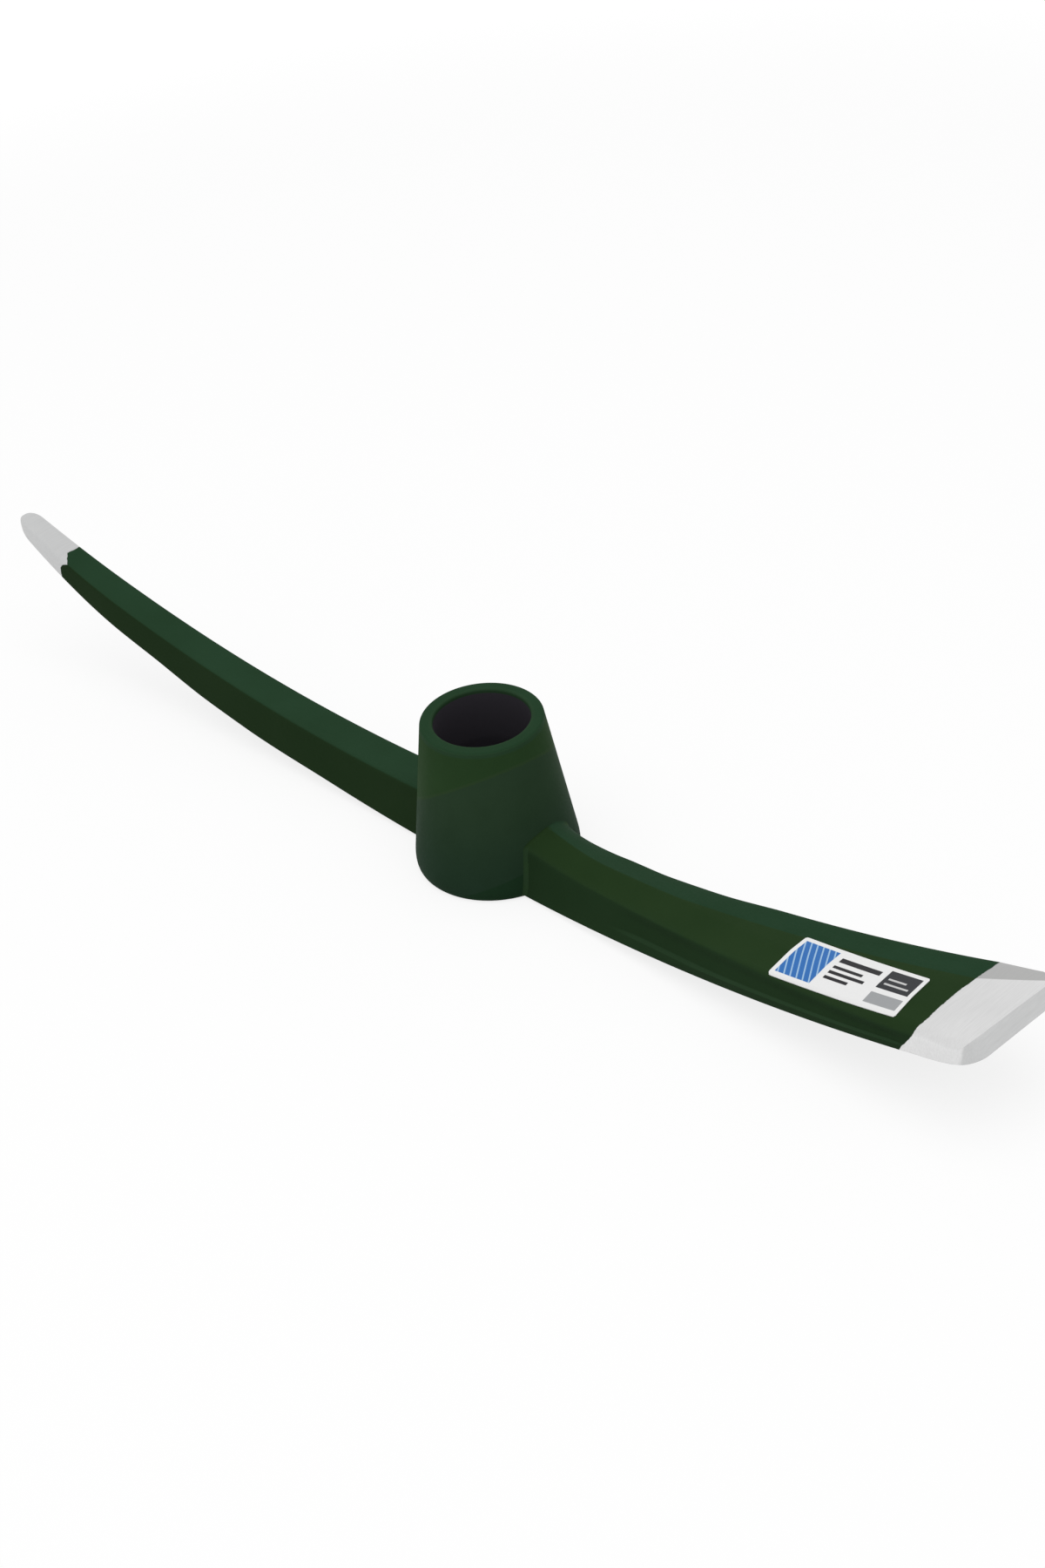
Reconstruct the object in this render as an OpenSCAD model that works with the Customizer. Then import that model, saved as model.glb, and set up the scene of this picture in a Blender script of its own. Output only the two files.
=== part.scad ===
// Pick axe head without its handle: a tapered round eye, a pointed pick arm and a broad chisel arm.
// Millimetres. The eye's axis is Z and its wide base lies at z = 0.
// The pick runs along -X, the chisel along +X, and both arms curve up towards the narrow collar.

/* [Eye] */
// Height of the eye along the handle's axis
eye_height = 71.3; // [62:0.1:80]
// Outside radius at the narrow collar
collar_r = 26.5; // [24.5:0.25:29]
// Outside radius at the wide base
base_r = 35.75; // [34:0.25:38]
// Radius of the straight handle bore below the collar
bore_r = 21; // [18:0.25:22]
// Length of the straight handle bore
bore_length = 24; // [16:1:36]
// Radius of the flared mouth in the base, where the handle goes in
mouth_r = 26.5; // [23:0.25:28]
// Chamfer on the eye's four round edges
eye_edge = 0.6; // [0.4:0.1:1.4]

/* [Pick arm] */
// Distance from the eye's axis to the tip of the pick
pick_reach = 306.5; // [285:0.5:330]
// Radius of the curve of the pick's underside
pick_bend = 924; // [800:4:1200]
// Length of the bare steel point
point_length = 31.5; // [26:0.5:40]
// Depth of the arm at the eye
pick_root_depth = 23.6; // [21:0.1:27]
// Depth of the arm where the point begins to narrow
pick_end_depth = 13.5; // [12:0.1:17]
// How fast the depth falls away from the eye
pick_fade = 1.6; // [1.2:0.1:2.2]
// Width across the top at the eye
pick_root_top = 18.8; // [16:0.2:22]
// Width across the top at the point
pick_end_top = 13; // [11:0.2:15]
// Width across the underside at the eye
pick_root_base = 28.4; // [25:0.2:31]
// Width across the underside at the point
pick_end_base = 13.4; // [11:0.2:15]
// Rounding of the arm's long edges
pick_edge = 1.2; // [0.6:0.1:2]

/* [Pick point] */
// Length over which the arm narrows to the tip
narrowing = 73; // [55:1:90]
// How far the underside lifts at the tip
point_lift = 8.5; // [6:0.5:10]
// How far the top rises at the tip
point_rise = 3.8; // [2:0.1:4.5]
// Width of the tip before its nose
nose_width = 10.6; // [8:0.2:12]
// Length of the rounded nose
nose_length = 8.2; // [6:0.2:12]
// Rounding of the edges at the tip
point_edge = 5.4; // [3:0.1:6]
// Length of the hidden tang
point_tang = 16; // [10:0.5:20]
// Thickness of the tang at its shoulder
point_tang_size = 6.4; // [5:0.1:7.5]

/* [Chisel arm] */
// Distance from the eye's axis to the cutting edge
chisel_reach = 281; // [262:0.5:300]
// Radius of the curve of the chisel's underside
chisel_bend = 1005; // [900:5:1300]
// Length of the bare steel bit
bit_length = 29; // [24:0.5:36]
// Depth of the arm's edge at the eye
chisel_root_depth = 17.8; // [16:0.1:22]
// Depth of the arm's edge at the bit's end
chisel_end_depth = 11.4; // [10:0.1:12.5]
// How fast the depth falls away from the eye
chisel_fade = 1.5; // [1:0.1:1.8]
// Width across the top at the eye
chisel_root_top = 20.6; // [18:0.2:24]
// Width across the underside at the eye
chisel_root_base = 34.6; // [30:0.2:38]
// Width of the chisel at its cutting edge
chisel_width = 56.8; // [48:0.2:64]
// How late the top spreads to that width
chisel_spread = 1.08; // [1:0.02:1.3]
// Chamfer on the long edges of the top
chisel_edge = 1.4; // [0.6:0.1:1.8]
// Height of the crown above the top's edges at the eye
crown_root = 3.2; // [2:0.1:4.5]
// Height of the crown above the top's edges at the bit
crown_bit = 1.6; // [1:0.1:2.6]
// Width of the flat land on the crown at the eye
land_root = 2; // [1:0.2:5]
// Width of the flat land on the crown at the bit
land_bit = 16; // [10:0.5:22]
// Height that the arm gains where it flares into the eye
flare_height = 5.2; // [2:0.1:6]
// Width that the arm gains where it flares into the eye
flare_width = 4.6; // [2:0.1:6]
// Length of that flare
flare_length = 34; // [24:1:44]
// Height of the upright band along the lower edges
band_height = 4.5; // [2:0.1:6]
// Distance from the eye's axis at which the band begins to rise
band_start = 90; // [60:1:110]
// Distance from the eye's axis at which the band is full
band_end = 150; // [120:1:200]

/* [Chisel bit] */
// Thickness of the cutting edge below the ground bevel
lip_height = 3; // [1:0.1:4]
// Length of the ground bevel along the arm
bevel_run = 2.6; // [2:0.1:5]
// Radius of the cutting edge's corners, seen from above
lip_corner = 9; // [7:0.1:12]
// Radius of the top's corners, seen from above
top_corner = 5; // [3.5:0.1:6]
// Length of the hidden tang
bit_tang = 14; // [8:0.5:20]
// Width of the tang at its shoulder
bit_tang_width = 26; // [16:0.5:32]
// Thickness of the tang at its shoulder
bit_tang_depth = 4.6; // [3:0.1:5.4]

/* [Welds] */
// Height of the bead up the eye
weld_height = 2.6; // [1.5:0.1:4]
// Length of the bead along the arm
weld_length = 5; // [3:0.1:8]

/* [Label] */
// Distance from the bare bit to the label's outer end
label_gap = 16; // [8:0.5:30]
// Length of the label along the arm
label_length = 65; // [45:1:75]
// Margin between the label and the edges of its face at its inner end
label_margin = 0.2; // [0.1:0.1:2]
// How far the label drifts towards the near edge over its length
label_drift = 2.3; // [0:0.1:2.5]
// Thickness of the paper
label_thickness = 0.3; // [0.2:0.05:0.6]

/* [Joints] */
// Gap between neighbouring pieces
fit_gap = 0.04; // [0.02:0.01:0.1]
// Gap around a tang in its socket
tang_gap = 0.1; // [0.05:0.01:0.2]

/* [Hidden] */
eye_facets = 128;
edge_steps = 3;
ring_step = 7;
// The arms' rings start inside the eye, so that the eye's cone cuts their ends
arm_start = base_r / 2;
point_joint = pick_reach - point_length;
bit_joint = chisel_reach - bit_length;
narrow_start = pick_reach - narrowing;
label_start = bit_joint - label_gap - label_length;
quarter_turn = 90;
band_least = 0.6;
// Where the arms' lower edges leave the eye
pick_root_x = sqrt(pow(base_r, 2) - pow(pick_root_base / 2, 2));
chisel_root_x = sqrt(pow(base_r, 2) - pow(chisel_root_base / 2, 2));
tang_taper = 0.75;
tang_seat = 1;
// The crown fades to almost nothing at the bit's end, where the land is nearly as wide as the top
crown_least = 0.5;
land_inset = 3;
// The most that the point's edges are rounded, as a share of its depth
round_most = 0.49;
nose_rings = 6;
nose_least = 0.16;
side_steps = 3;
corner_steps = 6;
// The beads are hollow in section, start inside the eye and above the sole, and run out to almost nothing
weld_rings = 5;
weld_back = -0.6;
weld_hollow = 1.5;
weld_least = 0.2;
weld_sole = 0.6;
paint_green = [0.15, 0.23, 0.13];
bare_steel = [0.78, 0.78, 0.78];
paper_white = [0.93, 0.93, 0.93];

// The piece to draw, or all of them

function mix(a, b, t) = a + (b - a) * t;
function clamp01(t) = min(1, max(0, t));
function spread(a, b, n) = [for (i = [0 : n]) mix(a, b, i / n)];
function stations(a, b) = spread(a, b, ceil((b - a) / ring_step));
pick_stations = stations(arm_start, point_joint - fit_gap);
chisel_stations = stations(arm_start, bit_joint - fit_gap);

// A quarter round of an outline, from angle a on
function corner(y, z, r, a) =
    [for (b = spread(a, a + quarter_turn, edge_steps)) [y + r * cos(b), z + r * sin(b)]];

// An upright four-sided outline, wider at one end than at the other, with rounded corners
function four_sided(low, high, half_low, half_high, r) = concat(
    corner(half_low - r, low + r, r, -quarter_turn),
    corner(half_high - r, high - r, r, 0),
    corner(r - half_high, high - r, r, quarter_turn),
    corner(r - half_low, low + r, r, 2 * quarter_turn));

// An outline of points [y, z] set up at distance x from the eye's axis
function ring(x, outline) = [for (p = outline) [x, p[0], p[1]]];

// A closed skin over rings of points, each ring symmetric from its first point to its last
module skin(rings) {
    n = len(rings[0]);
    last = n * (len(rings) - 1);
    sides = [for (k = [0 : len(rings) - 2], i = [0 : n - 1])
        let (a = k * n + i, b = k * n + (i + 1) % n)
        each [[a, a + n, b + n], [a, b + n, b]]];
    first_cap = [for (i = [0 : n / 2 - 2]) [i, i + 1, n - 2 - i, n - 1 - i]];
    last_cap = [for (q = first_cap) [last + q[3], last + q[2], last + q[1], last + q[0]]];
    polyhedron(
        points = [for (r = rings) each r],
        faces = concat(first_cap, sides, last_cap),
        convexity = 6);
}

// Eye

function eye_out(z) = mix(base_r, collar_r, z / eye_height);

// The eye's outside as a plain cone, used to cut the arms and the beads to it
module eye_cone() {
    translate([0, 0, -eye_edge])
        cylinder(h = eye_height + 2 * eye_edge, r1 = eye_out(-eye_edge) + fit_gap,
                 r2 = eye_out(eye_height + eye_edge) + fit_gap, $fn = eye_facets);
}

module eye_socket() {
    bore_top = eye_height - eye_edge;
    color(paint_green)
        rotate_extrude($fn = eye_facets)
            polygon([
                [mouth_r + eye_edge, 0],
                [base_r - eye_edge, 0],
                [eye_out(eye_edge), eye_edge],
                [eye_out(bore_top), bore_top],
                [collar_r - eye_edge, eye_height],
                [bore_r + eye_edge, eye_height],
                [bore_r, bore_top],
                [bore_r, bore_top - bore_length],
                [mouth_r, eye_edge]]);
}

// Pick arm, drawn along +X and turned about

function pick_t(s) = (s - base_r) / (pick_reach - base_r);
function pick_v(s) = pow(clamp01((s - narrow_start) / narrowing), 2);
function pick_curve(s) = s * s / (2 * pick_bend);
function pick_low(s) = pick_curve(s) + point_lift * pick_v(s);
function pick_depth(s) = mix(pick_end_depth, pick_root_depth, pow(1 - pick_t(s), pick_fade));
function pick_high(s) = pick_curve(s) + pick_depth(s) + point_rise * pick_v(s);
function pick_half(s, root, end) = mix(mix(root, end, pick_t(s)), nose_width, pick_v(s)) / 2;
function pick_round(s) = min(
    mix(pick_edge, point_edge, clamp01((s - narrow_start) / narrowing)),
    round_most * (pick_high(s) - pick_low(s)));

// The arm's outline at s, grown outwards by g and starting at sole above the underside
function pick_outline(s, g = 0, sole = 0) = four_sided(
    pick_low(s) + sole,
    pick_high(s) + g,
    pick_half(s, pick_root_base, pick_end_base) + g,
    pick_half(s, pick_root_top, pick_end_top) + g,
    pick_round(s));

// The outline of the point's tang or of its socket, g larger all round
function point_tang_ring(s, size, g) =
    let (mid = (pick_low(s) + pick_high(s)) / 2, half = size / 2 + g)
    ring(s, [[half, mid - half], [half, mid + half], [-half, mid + half], [-half, mid - half]]);

module point_tang_body(g) {
    skin([
        point_tang_ring(point_joint - point_tang - g, tang_taper * point_tang_size, g),
        point_tang_ring(point_joint + tang_seat, point_tang_size, g)]);
}

module pick_arm() {
    color(paint_green)
        rotate([0, 0, 180])
            difference() {
                skin([for (s = pick_stations) ring(s, pick_outline(s))]);
                eye_cone();
                point_tang_body(tang_gap);
            }
}

// A nose outline: the outline at s drawn in about its middle by the factor k
function drawn_in(outline, mid, k) = [for (p = outline) [p[0] * k, mid + (p[1] - mid) * k]];
function nose_factor(s) =
    max(nose_least, sqrt(max(0, 1 - pow(clamp01((s - pick_reach + nose_length) / nose_length), 2))));

module pick_point() {
    nose_start = pick_reach - nose_length;
    body = stations(point_joint, nose_start);
    nose = [for (i = [1 : nose_rings]) nose_start + nose_length * sin(quarter_turn * i / nose_rings)];
    color(bare_steel)
        rotate([0, 0, 180])
            union() {
                skin([for (s = concat(body, nose))
                    ring(s, drawn_in(pick_outline(s), (pick_low(s) + pick_high(s)) / 2, nose_factor(s)))]);
                point_tang_body(0);
            }
}

// A bead runs along the arm from where each point p of the arm's outline leaves the eye
function leaves_eye(p) = sqrt(pow(eye_out(p[1]), 2) - pow(p[0], 2));
// Its thickness at the share f of its length: full at the eye and almost nothing at its end
function bead_grow(f) = mix(weld_least, weld_height, pow(clamp01(1 - f), weld_hollow));
bead_shares = concat([weld_back], spread(0, 1, weld_rings));

function pick_bead(f) = [
    for (i = [0 : len(pick_outline(pick_root_x)) - 1])
        let (s = leaves_eye(pick_outline(pick_root_x)[i]) + f * weld_length,
             p = pick_outline(s, bead_grow(f), weld_sole)[i])
        [s, p[0], p[1]]];

module pick_root_weld() {
    color(paint_green)
        rotate([0, 0, 180])
            difference() {
                skin([for (f = bead_shares) pick_bead(f)]);
                skin([for (s = pick_stations) ring(s, pick_outline(s, fit_gap))]);
                eye_cone();
            }
}

// Chisel arm

function chisel_t(s) = (s - base_r) / (chisel_reach - base_r);
function chisel_low(s) = s * s / (2 * chisel_bend);
function flare(s) = pow(clamp01(1 - max(s - chisel_root_x, 0) / flare_length), 2);
function chisel_depth(s) =
    mix(chisel_end_depth, chisel_root_depth, pow(1 - chisel_t(s), chisel_fade)) + flare_height * flare(s);
function half_base(s) = mix(chisel_root_base, chisel_width, chisel_t(s)) / 2;
function half_top(s) =
    (mix(chisel_root_top, chisel_width, pow(max(chisel_t(s), 0), chisel_spread)) + flare_width * flare(s)) / 2;
function band(s) = mix(band_least, band_height, clamp01((s - band_start) / (band_end - band_start)));
function along_arm(s) = clamp01((s - base_r) / (bit_joint - base_r));
function along_bit(s) = clamp01((s - bit_joint) / bit_length);
function crown(s) = mix(mix(crown_root, crown_bit, along_arm(s)), crown_least, along_bit(s));
function half_land(s) =
    mix(mix(land_root, land_bit, along_arm(s)) / 2, half_top(s) - land_inset, along_bit(s));
function edge_z(s) = chisel_low(s) + chisel_depth(s);
function crown_z(s) = edge_z(s) + crown(s);
// The chamfer's lower and upper edges: on the side, and on the slope that leads up to the land
function side_z(s) = edge_z(s) - chisel_edge;
function half_side(s) =
    mix(half_top(s), half_base(s), chisel_edge / (chisel_depth(s) - band(s)));
function half_slope(s) = half_top(s) - chisel_edge;
function slope_z(s) = edge_z(s) + crown(s) * chisel_edge / (half_top(s) - half_land(s));

// Half of the outline at s, grown outwards by g, from sole above the underside up to the land
function chisel_half(s, g, sole) = [
    [half_base(s) + g, chisel_low(s) + sole],
    [half_base(s) + g, chisel_low(s) + sole + band(s)],
    [half_side(s) + g, side_z(s) + g / 2],
    [half_slope(s) + g / 2, slope_z(s) + g],
    [half_land(s) + g / 3, crown_z(s) + g]];
function mirrored(half) = concat(half, [for (i = [len(half) - 1 : -1 : 0]) [-half[i][0], half[i][1]]]);
function chisel_outline(s, g = 0, sole = 0) = mirrored(chisel_half(s, g, sole));

// The outline of the bit's tang or of its socket, g larger all round
function bit_tang_ring(s, size, g) =
    let (mid = chisel_low(s) + chisel_depth(s) / 2, half = size * bit_tang_width / 2 + g,
         deep = size * bit_tang_depth / 2 + g)
    ring(s, [[half, mid - deep], [half, mid + deep], [-half, mid + deep], [-half, mid - deep]]);

module bit_tang_body(g) {
    skin([
        bit_tang_ring(bit_joint - bit_tang - g, tang_taper, g),
        bit_tang_ring(bit_joint + tang_seat, 1, g)]);
}

module chisel_arm() {
    color(paint_green)
        difference() {
            skin([for (s = chisel_stations) ring(s, chisel_outline(s))]);
            eye_cone();
            bit_tang_body(tang_gap);
        }
}

// Half of the bit seen from above, its end drawn back by d: the side, then the corner of radius r
function bit_plan(d, r) =
    let (turn = chisel_reach - d - r)
    concat(
        [for (s = spread(bit_joint, turn, side_steps)) [s, half_base(s)]],
        [for (i = [1 : corner_steps])
            let (a = quarter_turn * i / corner_steps)
            [turn + r * sin(a), half_base(turn) - r * (1 - cos(a))]]);

// One layer of the bit: both halves of a plan, each point at the height that its distance gives
function bit_layer(plan, heights) = concat(
    [for (i = [0 : len(plan) - 1]) [plan[i][0], -plan[i][1], heights[i]]],
    [for (i = [len(plan) - 1 : -1 : 0]) [plan[i][0], plan[i][1], heights[i]]]);

module chisel_bit() {
    lip = bit_plan(0, lip_corner);
    rim = bit_plan(bevel_run, top_corner);
    // The layers above the rim start as wide as the arm's own and follow its corners
    side = [for (p = rim) [p[0], p[1] * half_side(p[0]) / half_base(p[0])]];
    slope = [for (p = rim) [p[0], p[1] * half_slope(p[0]) / half_base(p[0])]];
    land = [for (p = rim) [p[0], p[1] * half_land(p[0]) / half_base(p[0])]];
    color(bare_steel)
        union() {
            skin([
                bit_layer(lip, [for (p = lip) chisel_low(p[0])]),
                bit_layer(lip, [for (p = lip) chisel_low(p[0]) + lip_height]),
                bit_layer(side, [for (p = side) side_z(p[0])]),
                bit_layer(slope, [for (p = slope) slope_z(p[0])]),
                bit_layer(land, [for (p = land) crown_z(p[0])])]);
            bit_tang_body(0);
        }
}

function chisel_bead(f) = [
    for (i = [0 : len(chisel_outline(chisel_root_x)) - 1])
        let (s = leaves_eye(chisel_outline(chisel_root_x)[i]) + f * weld_length,
             p = chisel_outline(s, bead_grow(f), weld_sole)[i])
        [s, p[0], p[1]]];

module chisel_root_weld() {
    color(paint_green)
        difference() {
            skin([for (f = bead_shares) chisel_bead(f)]);
            skin([for (s = chisel_stations) ring(s, chisel_outline(s, fit_gap))]);
            eye_cone();
        }
}

// Label

// The label's long edges at its inner end: near the arm's edge, and near the far edge of the land
label_near = label_margin - half_slope(label_start);
label_far = half_land(label_start) - label_margin;

// Height of the chisel's top at distance s and across it at y
function top_z(s, y) =
    edge_z(s) + crown(s) * clamp01((half_top(s) - abs(y)) / (half_top(s) - half_land(s)));

// The label's outline at s: it bends over the near edge of the land
function label_outline(s) =
    let (drift = label_drift * (s - label_start) / label_length,
         across = [label_near - drift, -half_land(s), label_far - drift],
         under = [for (y = across) [y, top_z(s, y) + fit_gap]])
    concat(under, [for (i = [len(under) - 1 : -1 : 0]) under[i] + [0, label_thickness]]);

module label() {
    color(paper_white)
        skin([for (s = stations(label_start, label_start + label_length)) ring(s, label_outline(s))]);
}

eye_socket();
pick_arm();
pick_root_weld();
pick_point();
chisel_arm();
chisel_root_weld();
chisel_bit();
label();
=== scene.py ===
import math

import bmesh
import bpy
import numpy as np
from mathutils import Matrix, Vector
from mathutils.bvhtree import BVHTree


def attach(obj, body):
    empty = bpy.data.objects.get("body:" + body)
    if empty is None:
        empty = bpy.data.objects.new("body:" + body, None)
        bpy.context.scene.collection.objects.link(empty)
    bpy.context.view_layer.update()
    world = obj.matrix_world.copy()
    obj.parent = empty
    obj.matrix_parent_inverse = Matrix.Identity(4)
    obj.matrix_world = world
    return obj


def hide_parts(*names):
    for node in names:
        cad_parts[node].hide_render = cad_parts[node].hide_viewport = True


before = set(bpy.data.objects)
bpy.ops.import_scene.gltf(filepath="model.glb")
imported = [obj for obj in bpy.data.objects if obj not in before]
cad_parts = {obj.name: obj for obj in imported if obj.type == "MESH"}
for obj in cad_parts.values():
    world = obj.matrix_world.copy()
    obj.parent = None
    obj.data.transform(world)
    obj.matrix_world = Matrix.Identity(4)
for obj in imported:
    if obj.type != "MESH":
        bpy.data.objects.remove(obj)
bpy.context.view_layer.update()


# EYE
# The round, tapered socket that takes the handle: forged steel, its narrow collar up and its wide foot down.
# It is turned from one rounded profile and dipped in green enamel; the bore keeps its dark scale.
eye_height = 0.0713
collar_radius = 0.0265
base_radius = 0.0367
bore_radius = 0.021
bore_length = 0.0246
mouth_radius = 0.0265
eye_edge = 0.0011
foot_under, foot_rise = 0.0031, 0.0087
edge_steps = 10
eye_sides = 192
# a slanting line parts the collar's painted light from the cheek below, with a thin painted highlight along
# it, and a painted shadow of the chisel's root rises along the near foot
shade_line_height, shade_line_along, shade_line_across = 0.04375, 0.6256, 0.1664
shade_line_blur, shade_line_highlight_width, shade_line_highlight_strength = 0.0012, (0.0011, 0.0003), 0.6
# a painted shadow of the chisel's root: a darker patch on the near foot below a slanting edge
root_shadow_height, root_shadow_from, root_shadow_slope = 0.0036, 0.0147, 0.5
root_shadow_blur, root_shadow_near = 0.0005, (0, -0.01)
# painted shade: the cheek darkens towards the foot
cheek_shade_in = (0.002, 0.05)
# painted light on the collar's top: a painted highlight on the rim's rounding, a bluish painted reflection on
# its flat top and a painted highlight along the bore's edge
rim_highlight_in, lip_reflection_in = (eye_height - 0.0030, eye_height - 0.0018), (eye_height - 0.0007, eye_height - 0.0001)
inner_highlight_in, inner_highlight_strength = (bore_radius + 0.0018, bore_radius + 0.0006), 0.5
# the scale is bare on the bore's wall, from a little below the rim down
bare_wall = (0.0008, 0.0003)
bare_below = (eye_height - 0.0016, eye_height - 0.0022)

# painted light: the collar's green above the slanting line is lighter than the cheek's, and a thin painted
# highlight runs along the line
collar_lit_green = (0.0262, 0.0625, 0.0212, 1)
shade_line_highlight_green = (0.0340, 0.0680, 0.0260, 1)
cheek_green = (0.0288, 0.0590, 0.0300, 1)
low_shade_green = (0.0195, 0.0450, 0.0258, 1)
root_shadow_green = (0.0138, 0.0405, 0.0185, 1)
rim_highlight_green = (0.0270, 0.0660, 0.0310, 1)
lip_reflection_green = (0.0178, 0.0500, 0.0228, 1)
# a lighter green for real wear along the corners, also used for painted highlights on the bore's edge and the
# chisel's side ledge
wear_and_highlight_green = (0.0260, 0.0560, 0.0270, 1)
deep_green = (0.009, 0.025, 0.008, 1)
scale_black = (0.047, 0.043, 0.052, 1)
grind_grey = (0.42, 0.42, 0.42, 1)

# broad clouds, the hammered unevenness, orange peel and the steel's grinding streaks, and how much each shows
cloud_scale, forge_scale, peel_scale, grind_scale = 26, 95, 900, (2600, 90, 900)
mottle_cloud, mottle_forge, mottle_least = 0.5, 0.25, 0.12
wear_patch, wear_least = 0.5, 0.18
streak_grind, streak_cloud, streak_least = 0.3, 0.3, 0.2
enamel_rough, rough_peel, rough_cloud = 0.64, 0.16, 0.12
steel_rough, rough_grind, scale_rough = 0.40, 0.2, 0.25
bump_forge, bump_peel, bump_grind, steel_flat = 0.6, 0.10, 0.03, 0.9
bump_strength, bump_depth = 0.35, 0.0006
ragged_scale, ragged_depth = 420, 0.0012
enamel_shine = 0.03
merge_distance = 1e-5
sharp_angle = math.radians(32)


class Wire:
    """A value on its way through a node tree: sums and products of wires add Math nodes."""

    def __init__(self, tree, owner=None, socket=None):
        self.tree, self.owner, self.socket = tree, owner, socket

    def node(self, kind, settings=(), sockets=()):
        made = self.tree.nodes.new(kind)
        for key, value in dict(settings).items():
            setattr(made, key, value)
        for key, value in dict(sockets).items():
            if isinstance(key, str):
                target = next(s for s in made.inputs if s.name == key and s.enabled)
            else:
                target = made.inputs[key]
            if isinstance(value, Wire):
                self.tree.links.new(value.socket, target)
            else:
                target.default_value = value
        shown = [s for s in made.outputs if s.enabled]
        return Wire(self.tree, made, shown[0] if shown else None)

    def out(self, name):
        return Wire(self.tree, self.owner, self.owner.outputs[name])

    def axes(self):
        parts = self.node("ShaderNodeSeparateXYZ", {}, {0: self})
        return parts.out("X"), parts.out("Y"), parts.out("Z")

    def math(self, operation, *others):
        return self.node("ShaderNodeMath", {"operation": operation}, dict(enumerate((self, *others))))

    def __add__(self, other):
        return self.math("ADD", other)

    def __sub__(self, other):
        return self.math("SUBTRACT", other)

    def __rsub__(self, other):
        return self.node("ShaderNodeMath", {"operation": "SUBTRACT"}, {0: other, 1: self})

    def __mul__(self, other):
        return self.math("MULTIPLY", other)

    def __truediv__(self, other):
        return self.math("DIVIDE", other)

    def __rtruediv__(self, other):
        return self.node("ShaderNodeMath", {"operation": "DIVIDE"}, {0: other, 1: self})

    def __pow__(self, other):
        return self.math("POWER", other)

    def __gt__(self, other):
        return self.math("GREATER_THAN", other)

    def __lt__(self, other):
        return self.math("LESS_THAN", other)

    def __neg__(self):
        return self * -1

    def __abs__(self):
        return self.math("ABSOLUTE")

    __radd__ = __add__
    __rmul__ = __mul__

    def least(self, other):
        return self.math("MINIMUM", other)

    def most(self, other):
        return self.math("MAXIMUM", other)

    def clamp(self):
        return self.least(1).most(0)

    def step(self, start, end):
        return self.node("ShaderNodeMapRange", {"interpolation_type": "SMOOTHSTEP"},
                         {"Value": self, "From Min": start, "From Max": end})

    def blend(self, first, second):
        return self.node("ShaderNodeMix", {"data_type": "RGBA"}, {"Factor": self, "A": first, "B": second})


def blank(name):
    """A new material and the start of its empty node tree."""
    material = bpy.data.materials.new(name)
    material.use_nodes = True
    material.node_tree.nodes.clear()
    return material, Wire(material.node_tree)


def noise(place, scale, detail=2.0):
    return place.node("ShaderNodeTexNoise", {}, {"Vector": place, "Scale": scale, "Detail": detail})


def enamel(name, hue, bare=None, steel=None, scale=None):
    """Satin green enamel on forged steel: hue colours it, bare and scale say where steel or scale shows."""
    material, net = blank(name)
    place = net.node("ShaderNodeTexCoord").out("Object")
    x, y, z = place.axes()
    cloud, forge = noise(place, cloud_scale, 3), noise(place, forge_scale, 3)
    peel = noise(place, peel_scale, 1)
    edge = net.node("ShaderNodeAttribute", {"attribute_name": "edge"}).out("Fac")
    mottle = ((cloud - 0.5) * mottle_cloud + (forge - 0.5) * mottle_forge + mottle_least).clamp()
    colour = mottle.blend(hue(net, x, y, z), deep_green)
    colour = (edge * (wear_least + (forge - 0.5) * wear_patch)).clamp().blend(colour, wear_and_highlight_green)
    rough = enamel_rough + (peel - 0.5) * rough_peel + (cloud - 0.5) * rough_cloud
    height = forge * bump_forge + peel * bump_peel
    metal = 0.0
    if scale:
        dark = scale(x, y, z)
        colour = dark.blend(colour, scale_black)
        rough = rough + dark * scale_rough
    if bare:
        ragged = (noise(place, ragged_scale) - 0.5) * ragged_depth
        metal = bare(net, x, y, ragged)
        marks = noise(net.node("ShaderNodeMapping", {}, {"Vector": place, "Scale": grind_scale}), 1)
        streaks = ((marks - 0.5) * streak_grind + (cloud - 0.5) * streak_cloud + streak_least).clamp()
        colour = metal.blend(colour, streaks.blend(steel(net, x, y, z), grind_grey))
        rough = rough + (steel_rough + (marks - 0.5) * rough_grind - rough) * metal
        height = height * (1 - metal * steel_flat) + marks * bump_grind * metal
    bump = net.node("ShaderNodeBump", {}, {"Strength": bump_strength, "Distance": bump_depth,
                                           "Height": height})
    body = net.node("ShaderNodeBsdfPrincipled", {}, {"Base Color": colour, "Roughness": rough,
                                                     "Metallic": metal, "Specular IOR Level": enamel_shine,
                                                     "Normal": bump})
    net.node("ShaderNodeOutputMaterial", {}, {"Surface": body})
    return material


def show(name, mesh, material, node):
    """Puts a finished mesh on the head in place of its CAD node."""
    mesh.materials.clear()
    mesh.materials.append(material)
    made = bmesh.new()
    made.from_mesh(mesh)
    bmesh.ops.remove_doubles(made, verts=made.verts, dist=merge_distance)
    bmesh.ops.dissolve_degenerate(made, edges=made.edges, dist=merge_distance)
    bmesh.ops.recalc_face_normals(made, faces=made.faces)
    made.to_mesh(mesh)
    made.free()
    mesh.shade_smooth()
    mesh.set_sharp_from_angle(angle=sharp_angle)
    piece = bpy.data.objects.new(name, mesh)
    bpy.context.scene.collection.objects.link(piece)
    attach(piece, "root")
    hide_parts(node)


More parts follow.
